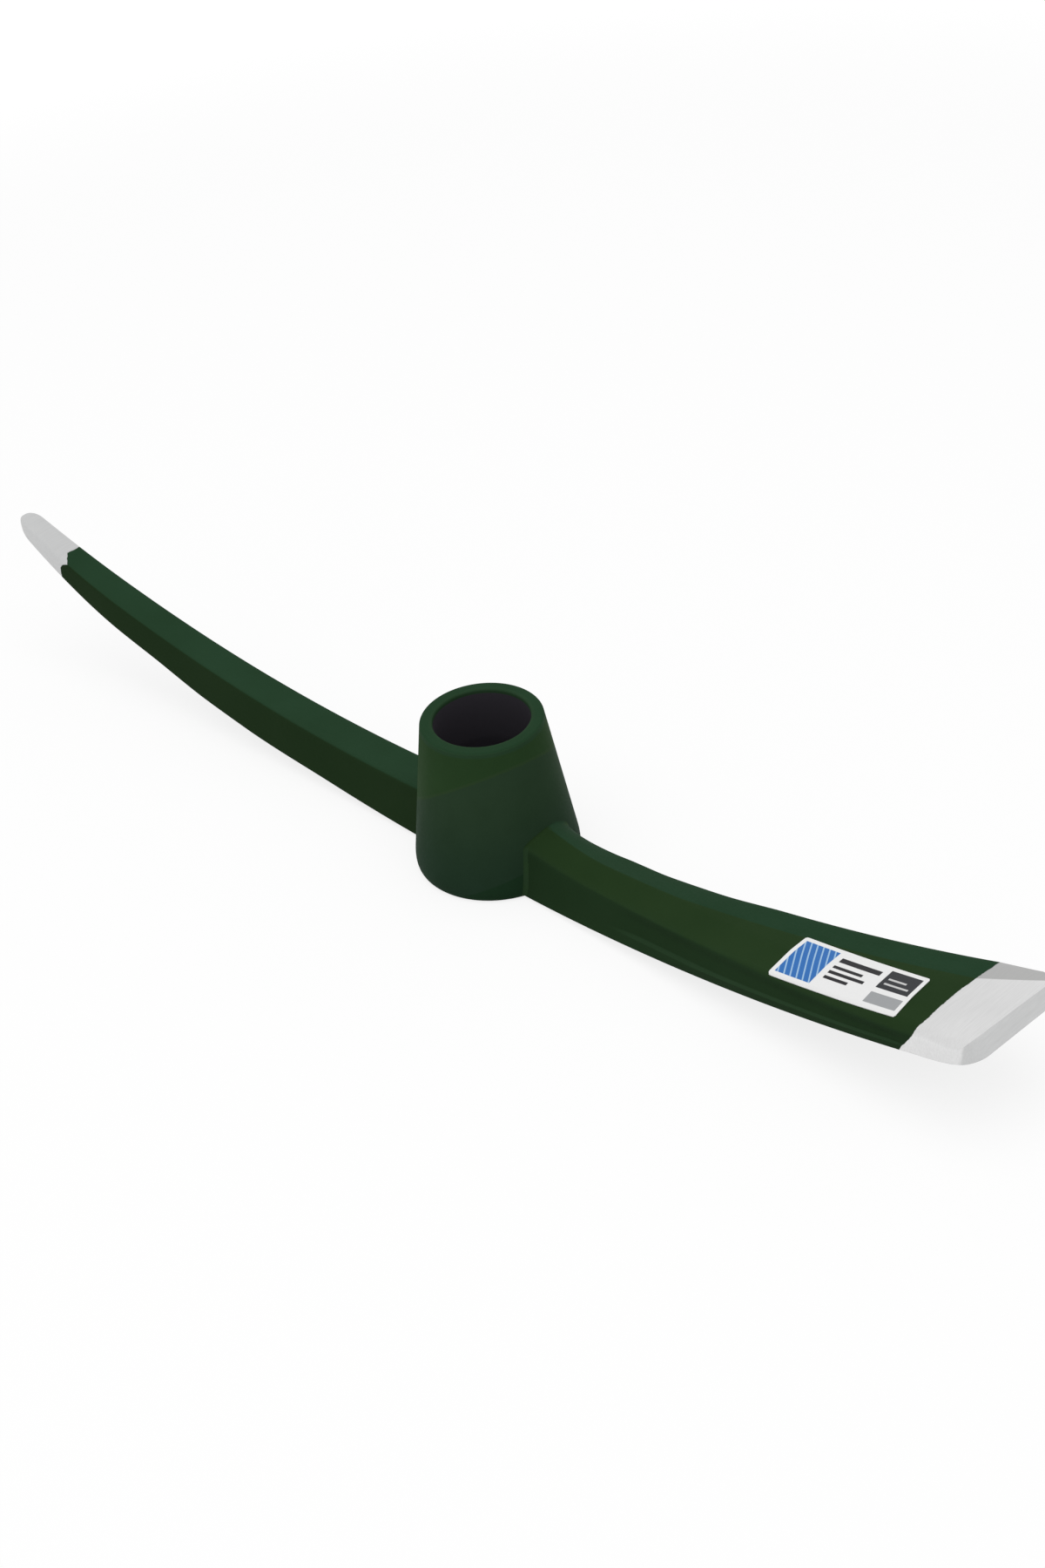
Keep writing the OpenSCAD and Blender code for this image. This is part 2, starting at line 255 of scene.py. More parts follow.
def rounded_profile(corners):
    """A closed outline of radius and height, each corner cut back by its two lengths and rounded."""
    rows = []
    for at, (corner, back, on) in enumerate(corners):
        before, after = corners[at - 1][0], corners[(at + 1) % len(corners)][0]
        before, here, after = Vector(before), Vector(corner), Vector(after)
        start = here + (before - here).normalized() * back
        end = here + (after - here).normalized() * on
        for part in np.linspace(0, 1, edge_steps):
            rows.append(start * (1 - part) ** 2 + here * 2 * part * (1 - part) + end * part ** 2)
    return rows


def turned(name, profile, sides):
    angles = np.linspace(0, 2 * math.pi, sides, endpoint=False)
    points = [(r * math.cos(a), r * math.sin(a), z) for r, z in profile for a in angles]
    rows = len(profile)
    faces = [(i * sides + j, i * sides + (j + 1) % sides, (i + 1) % rows * sides + (j + 1) % sides,
              (i + 1) % rows * sides + j) for i in range(rows) for j in range(sides)]
    mesh = bpy.data.meshes.new(name)
    mesh.from_pydata(points, [], faces)
    return mesh


def inside_bore(x, y, z):
    radius = (x * x + y * y) ** 0.5
    wall = bore_radius + (mouth_radius - bore_radius) * (1 - z / (eye_height - bore_length)).most(0)
    return (radius - wall).step(*bare_wall) * z.step(*bare_below)


def eye_hue(net, x, y, z):
    # painted shade darkens the cheek towards the foot
    shaded_cheek = z.step(*cheek_shade_in).blend(low_shade_green, cheek_green)
    # the painted shadow of the chisel's root darkens the near foot below a slanting edge
    root_shadow = z - root_shadow_height - (x - root_shadow_from) * root_shadow_slope
    shaded_cheek = (root_shadow.step(root_shadow_blur, -root_shadow_blur) * y.step(*root_shadow_near)).blend(shaded_cheek, root_shadow_green)
    # painted light on the collar above the slanting line, the cheek below it, and a thin painted highlight
    # along the line
    shade_line = z - shade_line_height - x * shade_line_along + y * shade_line_across
    colour = shade_line.step(-shade_line_blur, shade_line_blur).blend(shaded_cheek, collar_lit_green)
    colour = (abs(shade_line).step(*shade_line_highlight_width) * shade_line_highlight_strength).blend(colour, shade_line_highlight_green)
    # painted highlight on the rim, painted reflection on its flat top and painted highlight along the bore's
    # edge
    rim = z.step(*lip_reflection_in).blend(rim_highlight_green, lip_reflection_green)
    inner = ((x * x + y * y) ** 0.5).step(*inner_highlight_in)
    rim = (inner * inner_highlight_strength).blend(rim, wear_and_highlight_green)
    return z.step(*rim_highlight_in).blend(colour, rim)


eye_outline = rounded_profile([((mouth_radius, 0), eye_edge, eye_edge),
                               ((base_radius, 0), foot_under, foot_rise),
                               ((collar_radius, eye_height), eye_edge, eye_edge),
                               ((bore_radius, eye_height), eye_edge, eye_edge),
                               ((bore_radius, eye_height - bore_length), eye_edge, eye_edge)])
eye_paint = enamel("eye_enamel", eye_hue, scale=inside_bore)
show("eye", turned("eye", eye_outline, eye_sides), eye_paint, "eye_socket")


# PICK ARM
# The pointed arm's body: a forged four-sided bar that curves up and thins all the way from the eye.
# Its section follows a rule along the arm; the enamel stops just short of the bare point.
pick = {"Reach": 0.3065, "Bend": 0.924, "Eye": 0.03575, "Root depth": 0.0236, "End depth": 0.0135,
        "Root top": 0.0188, "End top": 0.013, "Root base": 0.0284, "End base": 0.0134, "Narrowing": 0.073,
        "Lift": 0.0085, "Rise": 0.0038, "Nose width": 0.0106, "Nose length": 0.0082, "Sag": 0.0017}
arm_start = 0.0288
pick_joint = 0.275
pick_fade = 1.6
pick_square, nose_square = 18, 3.1
sag_in, sag_out = (0.09, 0.15), (0.215, 0.175)
pick_rows, pick_sides = 124, 192
edge_focus, top_mark = 9, (0.9, 1)
end_tuck = 0.1
# the paint's ragged end: a notch on the near side and a slant across the top
pick_paint_end, paint_blur = 0.2742, 0.0002
near_side = (0.002, -0.002)
side_step, side_notch, notch_from = 0.0010, 0.0045, 0.2
slant_start, slant = 0.0015, 0.95

# painted light and reflection: the pick's top is painted lighter and bluer, its sides darker as painted shade
pick_side_shade_green = (0.0156, 0.0359, 0.0119, 1)
pick_top_lit_green = (0.0194, 0.0525, 0.0253, 1)
point_pale = (0.625, 0.63, 0.63, 1)
point_dull, dull_in = (0.595, 0.60, 0.60, 1), (0.05, 0.08)


def grown(name, sizes, shape, material, guide=None):
    """The mesh of a node tree that shape() lays out; its inputs are the named sizes and a guide's points."""
    tree = bpy.data.node_groups.new(name, "GeometryNodeTree")
    tree.interface.new_socket("Geometry", in_out="OUTPUT", socket_type="NodeSocketGeometry")
    tree.interface.new_socket("Guide", in_out="INPUT", socket_type="NodeSocketGeometry")
    keys = {key: tree.interface.new_socket(key, in_out="INPUT", socket_type="NodeSocketFloat").identifier
            for key in sizes}
    net = Wire(tree)
    shaped = shape(net, net.node("NodeGroupInput"))
    solid = net.node("GeometryNodeRealizeInstances", {}, {"Geometry": shaped})
    coated = net.node("GeometryNodeSetMaterial", {}, {"Geometry": solid, "Material": material})
    net.node("NodeGroupOutput", {}, {"Geometry": coated})
    holder = bpy.data.objects.new(name, guide or bpy.data.meshes.new(name))
    bpy.context.scene.collection.objects.link(holder)
    maker = holder.modifiers.new(name, "NODES")
    maker.node_group = tree
    for key, value in sizes.items():
        maker[keys[key]] = value
    holder.update_tag()
    bpy.context.view_layer.update()
    graph = bpy.context.evaluated_depsgraph_get()
    result = bpy.data.meshes.new_from_object(holder.evaluated_get(graph))
    holder.modifiers.remove(maker)
    bpy.data.objects.remove(holder)
    return result


def unrolled(net, rows, columns):
    """A grid, each point's row, whether that row lies inside the two end rows, and the share across."""
    grid = net.node("GeometryNodeMeshGrid", {}, {"Size X": 1.0, "Size Y": 1.0, "Vertices X": rows,
                                                 "Vertices Y": columns})
    along, across, _ = net.node("GeometryNodeInputPosition").axes()
    row = (along + 0.5) * (rows - 1)
    return grid, row, (row > 0.5) * (row < rows - 1.5), across + 0.5


def forged_bar(name, sizes, section, rows, around, material):
    """A closed bar unrolled from a grid: each row is a section, placed by section() from the named sizes."""

    def side_of(turn):
        return (abs(turn.math("FRACT") - 0.5) * 8 - 2).least(1).most(-1)

    def shape(net, given):
        grid, row, opened, turn = unrolled(net, rows, around + 1)
        share = ((row - 1) / (rows - 3)).clamp()
        across, up = side_of(turn), side_of(turn + 0.75)

        def rounded(power):
            pull = (abs(across) ** power + abs(up) ** power) ** (-1 / power)
            return across * pull, up * pull

        shaped = grid
        for key, value in {"edge": abs(across * up) ** edge_focus * opened, "up": up}.items():
            shaped = net.node("GeometryNodeStoreNamedAttribute", {"data_type": "FLOAT", "domain": "POINT"},
                              {"Geometry": shaped, "Name": key, "Value": value})
        x, y, z = section({key: given.out(key) for key in sizes}, share, opened, rounded)
        point = net.node("ShaderNodeCombineXYZ", {}, {"X": x, "Y": y, "Z": z})
        return net.node("GeometryNodeSetPosition", {}, {"Geometry": shaped, "Position": point})

    return grown(name, sizes, shape, material)


def rings_of(mesh, rows):
    return np.array([v.co[:] for v in mesh.vertices]).reshape(rows, -1, 3)


def pick_section(size, share, opened, rounded):
    slowing = (share * (math.pi / 2)).math("SINE")
    s = size["From"] + (size["To"] - size["From"]) * (share * size["Even"] + slowing * (1 - size["Even"]))
    t = (s - size["Eye"]) / (size["Reach"] - size["Eye"])
    near_end = ((s - size["Reach"] + size["Narrowing"]) / size["Narrowing"]).clamp()
    swell = near_end * near_end
    curve = s * s / (size["Bend"] * 2)
    low = curve + size["Lift"] * swell - size["Sag"] * s.step(*sag_in) * s.step(*sag_out)
    high = curve + size["Rise"] * swell + size["End depth"] \
        + (size["Root depth"] - size["End depth"]) * (1 - t).most(0) ** pick_fade
    base = size["Root base"] + (size["End base"] - size["Root base"]) * t
    top = size["Root top"] + (size["End top"] - size["Root top"]) * t
    base = base + (size["Nose width"] - base) * swell
    top = top + (size["Nose width"] - top) * swell
    past = ((s - size["Reach"] + size["Nose length"]) / size["Nose length"]).clamp()
    nose = (1 - past * past).most(0) ** 0.5
    across, up = rounded(pick_square - near_end * (pick_square - nose_square))
    rise = up * 0.5 + 0.5
    middle = (low + high) * 0.5
    y = across * (base + (top - base) * rise) * 0.5 * nose * (1 - end_tuck + opened * end_tuck)
    z = middle + (low + (high - low) * rise - middle) * nose * opened
    return -s, y, z


def up_mark(net):
    """The mark that a bar's points keep of their place on its section: -1 underneath, 1 on top."""
    return net.node("ShaderNodeAttribute", {"attribute_name": "up"}).out("Fac")


def on_top(net):
    return up_mark(net).step(*top_mark)


# the pick's colour: painted light on its top, painted shade on its sides
def pick_hue(net, x, y, z):
    return on_top(net).blend(pick_side_shade_green, pick_top_lit_green)


def pick_bare(net, x, y, ragged):
    notch = (up_mark(net) + notch_from).most(0)
    side = pick_paint_end + y.step(*near_side) * (side_step - notch * notch * side_notch)
    top = pick_paint_end - (-y - slant_start).most(0) * slant
    end = side + on_top(net) * (top - side)
    return (-x + ragged - end).step(-paint_blur, paint_blur)


def point_steel(net, x, y, z):
    return z.step(*dull_in).blend(point_pale, point_dull)


pick_paint = enamel("pick_enamel", pick_hue, pick_bare, point_steel)
pick_mesh = forged_bar("pick_arm", {**pick, "From": arm_start, "To": pick_joint, "Even": 1.0},
                       pick_section, pick_rows, pick_sides, pick_paint)
pick_rings = rings_of(pick_mesh, pick_rows)
show("pick_arm", pick_mesh, pick_paint, "pick_arm")


# PICK ROOT WELD
# The bead that joins the pick arm to the eye: weld metal run up one side, over the top and down the other.
# It is swept along the line where the arm leaves the eye's cone, and painted with the head.
weld_height = 0.0010
weld_length = 0.0017
weld = {"Ripple": 0.06, "Pitch": 5.0}
weld_arc = 9
weld_grain = 200
crest_lit_in, crest_far = (0.022, 0.025), (-0.001, 0.002)

# painted light on the bead's crest as on the arms' tops, and a bluish painted reflection on its far side
crest_near_lit_green = (0.0188, 0.0424, 0.0134, 1)
crest_far_sheen_green = (0.0222, 0.0570, 0.0285, 1)


def eye_at(z):
    """The eye's outside radius at a height, from its foot up to its collar."""
    outside = eye_outline[edge_steps:3 * edge_steps]
    return np.interp(z, [p.y for p in outside], [p.x for p in outside])


def weld_lines(rings):
    """Three lines from one bottom corner over the top to the other: on the eye, in the root, on the arm."""
    around = rings.shape[1] - 1
    side = np.sign(rings[-1, 0, 0])
    on_eye, root, on_arm = [], [], []
    for column in range(-around // 8 + 2, around * 5 // 8 - 1):
        path = rings[1:-1, column % around]
        out = np.hypot(path[:, 0], path[:, 1]) - eye_at(path[:, 2])
        at = int(np.argmax(out > 0))
        part = out[at - 1] / (out[at - 1] - out[at])
        here = path[at - 1] + (path[at] - path[at - 1]) * part
        along = np.abs(path[:, 0])
        reach = abs(here[0]) + weld_length
        far = np.array([np.interp(reach, along, path[:, k]) for k in range(3)])
        run = rings[at + 1, (column + 1) % around, 1:] - rings[at + 1, (column - 1) % around, 1:]
        facing = np.array([run[1], -run[0]]) / np.hypot(*run)
        y, z = here[1:] + facing * weld_height
        on_eye.append((side * math.sqrt(max(eye_at(z) ** 2 - y ** 2, 0)), y, z))
        root.append(here)
        on_arm.append(far)
    return [line[:1] + line + line[-1:] for line in (on_eye, root, on_arm)]


def weld_bead(name, lines, material):
    """A ribbon that bends from the eye to the arm all along the root, rippled and closed behind."""
    rows = len(lines[0])

    def shape(net, given):
        grid, row, inside, share = unrolled(net, rows, weld_arc + 2)
        column = share * (weld_arc + 1)
        closing = column > weld_arc + 0.5
        part = (column / (weld_arc - 1)).least(1) * (1 - closing)
        opened = inside * (column < weld_arc - 0.5).most(closing)
        spot = net.node("GeometryNodeInputPosition")

        def line_point(number):
            index = net.node("FunctionNodeFloatToInt", {}, {0: row + number * rows})
            return net.node("GeometryNodeSampleIndex", {"data_type": "FLOAT_VECTOR", "domain": "POINT"},
                            {"Geometry": given.out("Guide"), "Value": spot, "Index": index})

        def toward(first, second, factor):
            return net.node("ShaderNodeMix", {"data_type": "VECTOR"},
                            {"Factor": factor, "A": first, "B": second})

        upper, corner, lower = line_point(0), line_point(1), line_point(2)
        bent = toward(toward(upper, corner, part), toward(corner, lower, part), part)
        wave = (row * (2 * math.pi) / given.out("Pitch")).math("SINE")
        lifted = toward(corner, bent, opened * (1 + wave * given.out("Ripple")))
        return net.node("GeometryNodeSetPosition", {}, {"Geometry": grid, "Position": lifted})

    guide = bpy.data.meshes.new(name)
    guide.from_pydata([tuple(p) for line in lines for p in line], [], [])
    return grown(name, weld, shape, material, guide)


def weld_hue(net, x, y, z):
    place = net.node("ShaderNodeTexCoord").out("Object")
    grain = noise(place, weld_grain, 1).blend(collar_lit_green, cheek_green)
    # painted light on the crest's near side, painted reflection on its far side
    crest = y.step(*crest_far).blend(crest_near_lit_green, crest_far_sheen_green)
    return z.step(*crest_lit_in).blend(grain, crest)


weld_paint = enamel("weld_enamel", weld_hue)
show("pick_root_weld", weld_bead("pick_root_weld", weld_lines(pick_rings), weld_paint), weld_paint,
     "pick_root_weld")


# PICK POINT
# The bare point: hardened steel ground to a blunt, rounded nose, with its tang hidden in the arm's end.
# It carries the arm's section on to the tip, and the paint's ragged edge runs over the joint.
point_rows = 60

point_paint = enamel("point_steel", pick_hue, pick_bare, point_steel)
point_mesh = forged_bar("pick_point", {**pick, "From": pick_joint, "To": pick["Reach"], "Even": 0.0},
                        pick_section, point_rows, pick_sides, point_paint)
show("pick_point", point_mesh, point_paint, "pick_point")


# CHISEL ARM
# The broad arm's body: a forged bar that widens and thins towards the bit, with a low crown along its top.
# Its root flares into the eye; the enamel ends in a line that falls back down the sides.
chisel = {"Reach": 0.281, "Bend": 1.005, "Eye": pick["Eye"], "Joint": 0.252,
          "Root depth": 0.0178, "End depth": 0.0114, "Root top": 0.0206, "Root base": 0.0346, "Width": 0.0568,
          "Root crown": 0.0032, "End crown": 0.0016, "Bit crown": 0.0005,
          "Root land": 0.0006, "End land": 0.0216, "Bit slope": 0.0075, "Parting": 0.105,
          "Flare height": 0.0052, "Flare width": 0.0046, "Flare start": 0.0313, "Flare length": 0.034,
          "Band": 0.0045, "Ledge": 0.0011, "Ledge height": 0.0047, "Rolled edge": 0.0032,
          "Root rise": 0.0009, "Root fall": 0.0022, "Far fall": 0.0013}
chisel_fade, chisel_spread = 1.5, 1.08
chisel_square, bit_square = 22, 0.99
band_in, band_least = (0.09, 0.15), 0.0006
ledge_in, ledge_out = (0.08, 0.10), (0.236, 0.2515)
ledge_from, ledge_slope, ledge_fade = 0.09, 0.006, 0.005
ridge_soften = 0.12
root_in = (0.07, 0.034)
fall_in, fall_out = (0.065, 0.09), (0.15, 0.115)
roll_in, roll_least, roll_width = (0.12, 0.25), 0.0001, 1.6
chisel_rows, chisel_sides = 124, 240
# a painted highlight along the side's ledge with painted light on the band below it, and the bluish painted
# reflection of the far strip, paler at the root
line_rise, line_slope = 0.29, 0.27
line_in, line_out, ledge_highlight_strength = (0, 0.02), (0.11, 0.07), 0.6
under_in, band_light_strength = (0.02, 0), 0.2
far_root_sheen_in, ridge_blur = (0.13, 0.04), 0.0004
# the paint's end falls back down the sides, and steps back on the near half and at the near corner
paint_fall = 0.00325
paint_near, near_in = 0.0009, (0.012, 0)
paint_corner, corner_in = 0.002, (-0.019, -0.027)
# which of the bit's faces are its top and its end, by their direction and height, for the painted light and
# shade of its steel
bit_upward, bit_outward, end_tilt = (0.5, 0.7), (0.2, 0.36), 28

# painted light and shade: the chisel's crown is painted lighter than its darker flanks
flank_shade_green = (0.0165, 0.0390, 0.0150, 1)
crown_lit_green = crest_near_lit_green
# painted reflection: the far strip beyond the crown's ridge is painted bluer, paler at the root
far_sheen_green = (0.0155, 0.0475, 0.0216, 1)
far_root_sheen_green = crest_far_sheen_green
# painted light and shade on the bare steel: the near side painted lighter than the top, the far slope and the
# end bevel darker
bit_side_painted_light = (0.835, 0.835, 0.835, 1)
bit_top = (0.775, 0.775, 0.775, 1)
bit_far_painted_shade = (0.455, 0.455, 0.45, 1)
bit_end_painted_shade = (0.635, 0.64, 0.64, 1)


def chisel_body(size, s, fold, tuck, opened, rounded):
    """The chisel's section: across, height above the sole, lift of the top, depth and half width.

    A closed end folds to one height and tucks in.
    """
    t = (s - size["Eye"]) / (size["Reach"] - size["Eye"])
    flare = (1 - (s - size["Flare start"]).most(0) / size["Flare length"]).clamp() ** 2
    depth = size["End depth"] + (size["Root depth"] - size["End depth"]) * (1 - t).most(0) ** chisel_fade \
        + size["Flare height"] * flare
    base = (size["Root base"] + (size["Width"] - size["Root base"]) * t) * 0.5
    top = (size["Root top"] + (size["Width"] - size["Root top"]) * t.most(0) ** chisel_spread
           + size["Flare width"] * flare) * 0.5
    along = ((s - size["Eye"]) / (size["Joint"] - size["Eye"])).clamp()
    crown = size["Root crown"] + (size["End crown"] - size["Root crown"]) * along
    parted = ((s - size["Parting"]) / (size["Joint"] - size["Parting"])).clamp()
    land = (size["Root land"] + (size["End land"] - size["Root land"]) * parted) * 0.5
    on_bit = ((s - size["Joint"]) / (size["Reach"] - size["Joint"])).clamp()
    crown = crown + (size["Bit crown"] - crown) * on_bit
    land = land + (top - size["Bit slope"] - land) * on_bit

    across, up = rounded(chisel_square / (1 - on_bit * bit_square))
    rise = up * 0.5 + 0.5
    height = fold + (rise * depth - fold) * opened
    band = size["Band"] * s.step(*band_in) + band_least
    half = base + (top - base) * ((height - band) / (depth - band)).clamp()
    above = height - size["Ledge height"] + (s - ledge_from) * ledge_slope
    ledge = size["Ledge"] * s.step(*ledge_in) * (1 - s.step(*ledge_out)) \
        * above.step(0, size["Ledge"]) * (depth - height).step(0, ledge_fade)
    y = across * (half - ledge) * (1 - (1 - opened) * tuck)

    gable = ((top - abs(y)) / (top - land)).math("SMOOTH_MIN", 1, ridge_soften).most(0)
    arch = (1 - y * y / (top * top)).most(0)
    root = s.step(*root_in)
    crest = (gable + (arch - gable) * root) * (crown + root * size["Root rise"])
    fall = root * root * size["Root fall"] + s.step(*fall_in) * s.step(*fall_out) * size["Far fall"]
    lift = (crest - (y / top).most(0) ** 2 * fall) * rise * rise * opened
    roll = size["Rolled edge"] * s.step(*roll_in) + roll_least
    rolled = (1 - (across + 1) * half / (roll * roll_width)).clamp()
    lift = lift - rolled * rolled * roll * rise * opened
    return y, height, lift, depth, half


def chisel_section(size, share, opened, rounded):
    s = size["From"] + (size["Joint"] - size["From"]) * share
    y, height, lift = chisel_body(size, s, size["End depth"] * 0.5, end_tuck, opened, rounded)[:3]
    return s, y, s * s / (size["Bend"] * 2) + height + lift


def far_slope(net, x, y):
    """Where the chisel's top falls away beyond its crown's far ridge."""
    parted = ((x - chisel["Parting"]) / (chisel["Joint"] - chisel["Parting"])).clamp()
    on_bit = ((x - chisel["Joint"]) / (chisel["Reach"] - chisel["Joint"])).clamp()
    land = parted * ((chisel["End land"] - chisel["Root land"]) / 2) + chisel["Root land"] / 2
    ridge = land + on_bit * (chisel["Width"] / 2 - chisel["Bit slope"] - land)
    return (y - ridge).step(-ridge_blur, ridge_blur) * on_top(net)


def chisel_hue(net, x, y, z):
    # painted highlight along the side's ledge and painted light on the band below it
    above = up_mark(net) * 0.5 + 0.5 - line_rise - (x - ledge_from) * line_slope
    line = above.step(*line_in) * above.step(*line_out) * ledge_highlight_strength + above.step(*under_in) * band_light_strength
    flank = (line * x.step(*ledge_in)).blend(flank_shade_green, wear_and_highlight_green)
    # painted light on the crown, painted shade on the flank
    near = on_top(net).blend(flank, crown_lit_green)
    # the far strip's bluish painted reflection, paler at the root
    sheen_strip = x.step(*far_root_sheen_in).blend(far_sheen_green, far_root_sheen_green)
    return far_slope(net, x, y).blend(near, sheen_strip)


def chisel_bare(net, x, y, ragged):
    end = chisel["Joint"] - paint_fall * (1 - up_mark(net)) - y.step(*near_in) * paint_near \
        - y.step(*corner_in) * paint_corner
    return (x + ragged - end).step(-paint_blur, paint_blur)


def bit_steel(net, x, y, z):
    outward, _, upward = net.node("ShaderNodeNewGeometry").out("Normal").axes()
    upward = upward.step(*bit_upward)
    height = z - x * x / (chisel["Bend"] * 2)
    # painted light and shade by face: the side lighter than the top, the far slope and the end bevel darker
    colour = (on_top(net) * upward).blend(bit_side_painted_light, bit_top)
    colour = (far_slope(net, x, y) * upward).blend(colour, bit_far_painted_shade)
    return (outward - height * end_tilt).step(*bit_outward).blend(colour, bit_end_painted_shade)


chisel_paint = enamel("chisel_enamel", chisel_hue, chisel_bare, bit_steel)
chisel_mesh = forged_bar("chisel_arm", {**chisel, "From": arm_start},
                         chisel_section, chisel_rows, chisel_sides, chisel_paint)
chisel_rings = rings_of(chisel_mesh, chisel_rows)
show("chisel_arm", chisel_mesh, chisel_paint, "chisel_arm")


# CHISEL ROOT WELD
# The bead that joins the chisel arm to the eye: weld metal, painted over with the head.
# It is run the same way as the pick's, up one side, over the arched root and down the other.
show("chisel_root_weld", weld_bead("chisel_root_weld", weld_lines(chisel_rings), weld_paint), weld_paint,
     "chisel_root_weld")


# CHISEL BIT
# The bare cutting end: hardened steel, ground on top and bevelled to a lip with rounded corners.
# It carries the arm's section on, and its rows are drawn out to the end's rounded outline.
bit = {"Lip": 0.003, "Lip skew": 0.04, "Lip corner": 0.010, "Bevel": 0.0017, "Bevel skew": 0.035,
       "Far taper": 0.1, "Toe": 0.0012}
bit_rows = 60
corner_shrink = 1.3
sharp_square = 4000


def bit_section(size, share, opened, rounded):
    s = size["Joint"] + (size["Reach"] - size["Joint"]) * share
    tuck = end_tuck - share * end_tuck
    y, height, lift, depth, half = chisel_body(size, s, size["Lip"], tuck, opened, rounded)
    bevelled = ((height - size["Lip"]) / (depth - size["Lip"])).clamp()
    reach = size["Reach"] + y * size["Lip skew"]
    bevel = (size["Bevel"] - y * size["Bevel skew"]).most(0) * bevelled
    corner = size["Lip corner"] - bevel * corner_shrink
    square = rounded(sharp_square)[0]
    turn = (abs(square) * half - half + corner).most(0).least(corner)
    end = reach - bevel - corner + (corner * corner - turn * turn).most(0) ** 0.5
    x = size["Joint"] + (end - size["Joint"]) * share
    toe = size["Toe"] * share * share * (1 - height / depth)
    y = y - y.most(0) * size["Far taper"] * share
    return x, y, x * x / (size["Bend"] * 2) + height + lift + toe


bit_paint = enamel("bit_steel", chisel_hue, chisel_bare, bit_steel)
bit_mesh = forged_bar("chisel_bit", {**chisel, **bit}, bit_section, bit_rows, chisel_sides, bit_paint)
show("chisel_bit", bit_mesh, bit_paint, "chisel_bit")


# LABEL
# A printed paper label stuck on the chisel's top, bending over the crown and down towards the near edge.
# It lies on the arm's own surface; the print is plain panels and rules with nothing to read.
label_start, label_length, label_skew = 0.171, 0.065, 0.0019
label_near, label_near_drift = -0.0193, -0.0025
label_far, label_far_drift = 0.0052, -0.0023
label_lift, label_thickness = 0.00012, 0.0003
label_cells, label_width_cells = 130, 48
corner_power, corner_pull = 30, 0.035
drop_height = 0.2
print_length, print_width, print_blur = 65, 23.4, 0.08
stripe_slant, stripe_pitch, stripe_in = 0.6, 1.6, (1.15, 1.3)
fibre_scale, fibre_strength, fibre_depth = 2600, 0.1, 0.0001
paper_rough, rough_fibre, paper_shine = 0.5, 0.2, 0.25

paper_shade, paper_white = (0.86, 0.86, 0.855, 1), (0.92, 0.92, 0.92, 1)
print_blue, print_sky = (0.030, 0.160, 0.480, 1), (0.36, 0.56, 0.78, 1)
print_black, print_coal = (0.012, 0.012, 0.014, 1), (0.022, 0.024, 0.028, 1)
print_silver, print_grey = (0.62, 0.62, 0.62, 1), (0.36, 0.37, 0.38, 1)
blue_panel = (2, 20, 2, 21.4)
printed = [((23, 44, 16.5, 19.2), print_black), ((23, 38, 12.6, 14.2), print_black),
           ((23, 41, 9.6, 11.2), print_black), ((23, 35, 6.6, 8.2), print_black),
           ((47, 63, 10.5, 21.4), print_coal), ((49, 61, 13.0, 14.0), print_silver),
           ((49, 58, 16.0, 17.0), print_silver), ((47, 63, 2.2, 8.0), print_grey)]


def label_mesh():
    """The label's sheet, dropped on the arm's top, with each point's place on the print."""
    arm = BVHTree.FromPolygons([v.co for v in chisel_mesh.vertices],
                               [p.vertices for p in chisel_mesh.polygons])
    long, wide = label_cells + 1, label_width_cells + 1
    u, v = np.meshgrid(np.linspace(-1, 1, long), np.linspace(-1, 1, wide), indexing="ij")
    aspect = label_length / (label_far - label_near)
    corner = np.abs(u) ** (corner_power * aspect) * np.abs(v) ** corner_power
    u, v = u * (1 - corner_pull / aspect * corner), v * (1 - corner_pull * corner)
    along, across = (u + 1) / 2, (v + 1) / 2
    x = label_start + (label_length + label_skew * (1 - across)) * along
    near, far = label_near + label_near_drift * along, label_far + label_far_drift * along
    y = near + (far - near) * across
    under = []
    for px, py in zip(x.ravel(), y.ravel()):
        hit, normal = arm.ray_cast(Vector((px, py, drop_height)), Vector((0, 0, -1)))[:2]
        under.append(hit + normal * label_lift)
    count = len(under)
    points = under + [p + Vector((0, 0, label_thickness)) for p in under]
    faces = []
    for i in range(long - 1):
        for j in range(wide - 1):
            ring = [i * wide + j, (i + 1) * wide + j, (i + 1) * wide + j + 1, i * wide + j + 1]
            faces += [ring[::-1], [k + count for k in ring]]
    rim = [i * wide for i in range(long)]
    rim += [(long - 1) * wide + j for j in range(1, wide)]
    rim += [i * wide + wide - 1 for i in range(long - 2, -1, -1)]
    rim += range(wide - 2, 0, -1)
    faces += [[a, b, b + count, a + count] for a, b in zip(rim, rim[1:] + rim[:1])]
    mesh = bpy.data.meshes.new("label")
    mesh.from_pydata(points, [], faces)
    flat = mesh.attributes.new("print", "FLOAT_VECTOR", "POINT")
    spots = np.stack([along.ravel(), across.ravel(), np.zeros(count)], 1)
    flat.data.foreach_set("vector", np.concatenate([spots, spots]).ravel())
    return mesh


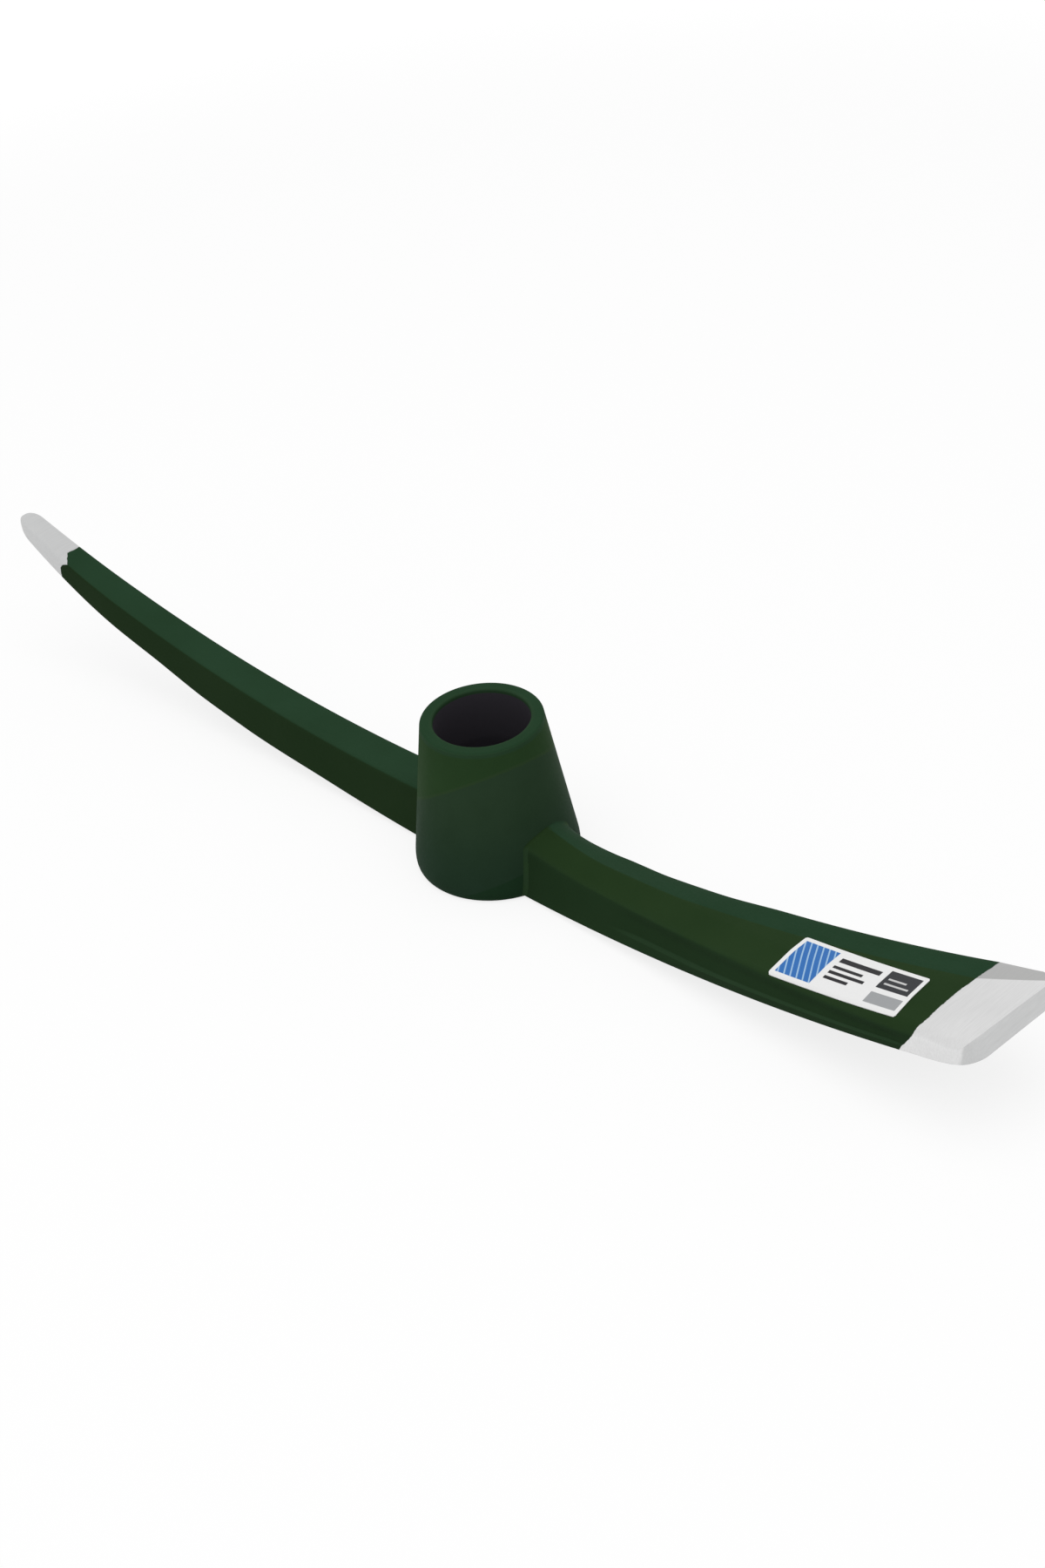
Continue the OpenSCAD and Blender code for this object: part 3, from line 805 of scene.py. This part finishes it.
def label_paper():
    material, net = blank("label_paper")
    along, across, _ = net.node("ShaderNodeAttribute", {"attribute_name": "print"}).out("Vector").axes()
    along, across = along * print_length, across * print_width

    def between(place, start, end):
        begun = place.step(start - print_blur, start + print_blur)
        return begun * (1 - place.step(end - print_blur, end + print_blur))

    def panel(start, end, low, high):
        return between(along, start, end) * between(across, low, high)

    fibre = noise(net.node("ShaderNodeTexCoord").out("Object"), fibre_scale)
    blue = panel(*blue_panel)
    stripe = (along + across * stripe_slant).math("PINGPONG", stripe_pitch).step(*stripe_in) * blue
    colour = blue.blend(fibre.blend(paper_shade, paper_white), print_blue)
    colour = stripe.blend(colour, print_sky)
    for area, ink in printed:
        colour = panel(*area).blend(colour, ink)
    rough = paper_rough + (fibre - 0.5) * rough_fibre
    bump = net.node("ShaderNodeBump", {}, {"Strength": fibre_strength, "Distance": fibre_depth,
                                           "Height": fibre})
    body = net.node("ShaderNodeBsdfPrincipled", {}, {"Base Color": colour, "Roughness": rough,
                                                     "Specular IOR Level": paper_shine, "Normal": bump})
    net.node("ShaderNodeOutputMaterial", {}, {"Surface": body})
    return material


show("label", label_mesh(), label_paper(), "label")


# STUDIO
# A plain white floor that keeps the head's soft shadow, even light from all round and one wide lamp overhead.
# Seen directly or in a reflection the floor glows, more so away from the head, and runs into the white air.
floor_half, floor_drop = 4, 0.0002
floor_grey = (0.5, 0.5, 0.5, 1)
floor_glow, near_glow, glow_in = 1.35, 0.6, (0.7, 1.8)
white = (1, 1, 1, 1)
air_light = 0.5
lamp_size, lamp_power = 3.0, 30
lamp_place, lamp_aim = Vector((0.1, -0.4, 2.2)), Vector((0, 0, 0.05))


def seen(net):
    """1 for what the camera sees, straight or by a reflection, and 0 for what lights the head."""
    ray = net.node("ShaderNodeLightPath")
    return ray.out("Is Camera Ray").most(ray.out("Is Glossy Ray")).most(ray.out("Is Transmission Ray"))


floor_mesh = bpy.data.meshes.new("floor")
floor_mesh.from_pydata([(x * floor_half, y * floor_half, -floor_drop)
                        for x, y in ((-1, -1), (1, -1), (1, 1), (-1, 1))], [], [(0, 1, 2, 3)])
floor = bpy.data.objects.new("floor", floor_mesh)
bpy.context.scene.collection.objects.link(floor)
floor_white, net = blank("floor_white")
floor_x, floor_y, _ = net.node("ShaderNodeTexCoord").out("Object").axes()
away = (floor_x * floor_x + floor_y * floor_y) ** 0.5
plain = net.node("ShaderNodeBsdfDiffuse", {}, {"Color": floor_grey})
glow = net.node("ShaderNodeEmission", {}, {"Color": white, "Strength": floor_glow})
glowing = seen(net) * (near_glow + away.step(*glow_in) * (1 - near_glow))
mixed = net.node("ShaderNodeMixShader", {}, {0: glowing, 1: plain, 2: glow})
net.node("ShaderNodeOutputMaterial", {}, {"Surface": mixed})
floor_mesh.materials.append(floor_white)

world = bpy.data.worlds.new("studio")
bpy.context.scene.world = world
world.use_nodes = True
world.node_tree.nodes.clear()
net = Wire(world.node_tree)
strength = seen(net) * (1 - air_light) + air_light
air = net.node("ShaderNodeBackground", {}, {"Color": white, "Strength": strength})
net.node("ShaderNodeOutputWorld", {}, {"Surface": air})

lamp_data = bpy.data.lights.new("overhead", "AREA")
lamp_data.shape = "DISK"
lamp_data.size = lamp_size
lamp_data.energy = lamp_power
lamp = bpy.data.objects.new("overhead", lamp_data)
lamp.location = lamp_place
lamp.visible_glossy = False
lamp.rotation_euler = (lamp_aim - lamp_place).to_track_quat("-Z", "Y").to_euler()
bpy.context.scene.collection.objects.link(lamp)


# CAMERA A long lens that stands off the chisel's near side and looks down on the head, tipped a little to
# the left.
view_turn, view_rise, view_tip = math.radians(47.75), math.radians(35.53), math.radians(-7.16)
view_target, view_distance = Vector((0.02033, 0, 0.0452)), 1.4719
view_lens, view_sensor = 80.02, 36

back = Vector((math.sin(view_turn) * math.cos(view_rise), -math.cos(view_turn) * math.cos(view_rise),
               math.sin(view_rise)))
level = Vector((math.cos(view_turn), math.sin(view_turn), 0))
upright = back.cross(level)
right = level * math.cos(view_tip) + upright * math.sin(view_tip)
above = upright * math.cos(view_tip) - level * math.sin(view_tip)
camera_data = bpy.data.cameras.new("view")
camera_data.sensor_width = view_sensor
camera_data.lens = view_lens
camera = bpy.data.objects.new("view", camera_data)
bpy.context.scene.collection.objects.link(camera)
camera.matrix_world = Matrix.Translation(view_target + back * view_distance) \
    @ Matrix((right, above, back)).transposed().to_4x4()
bpy.context.scene.camera = camera
bpy.context.scene.view_settings.view_transform = "Standard"
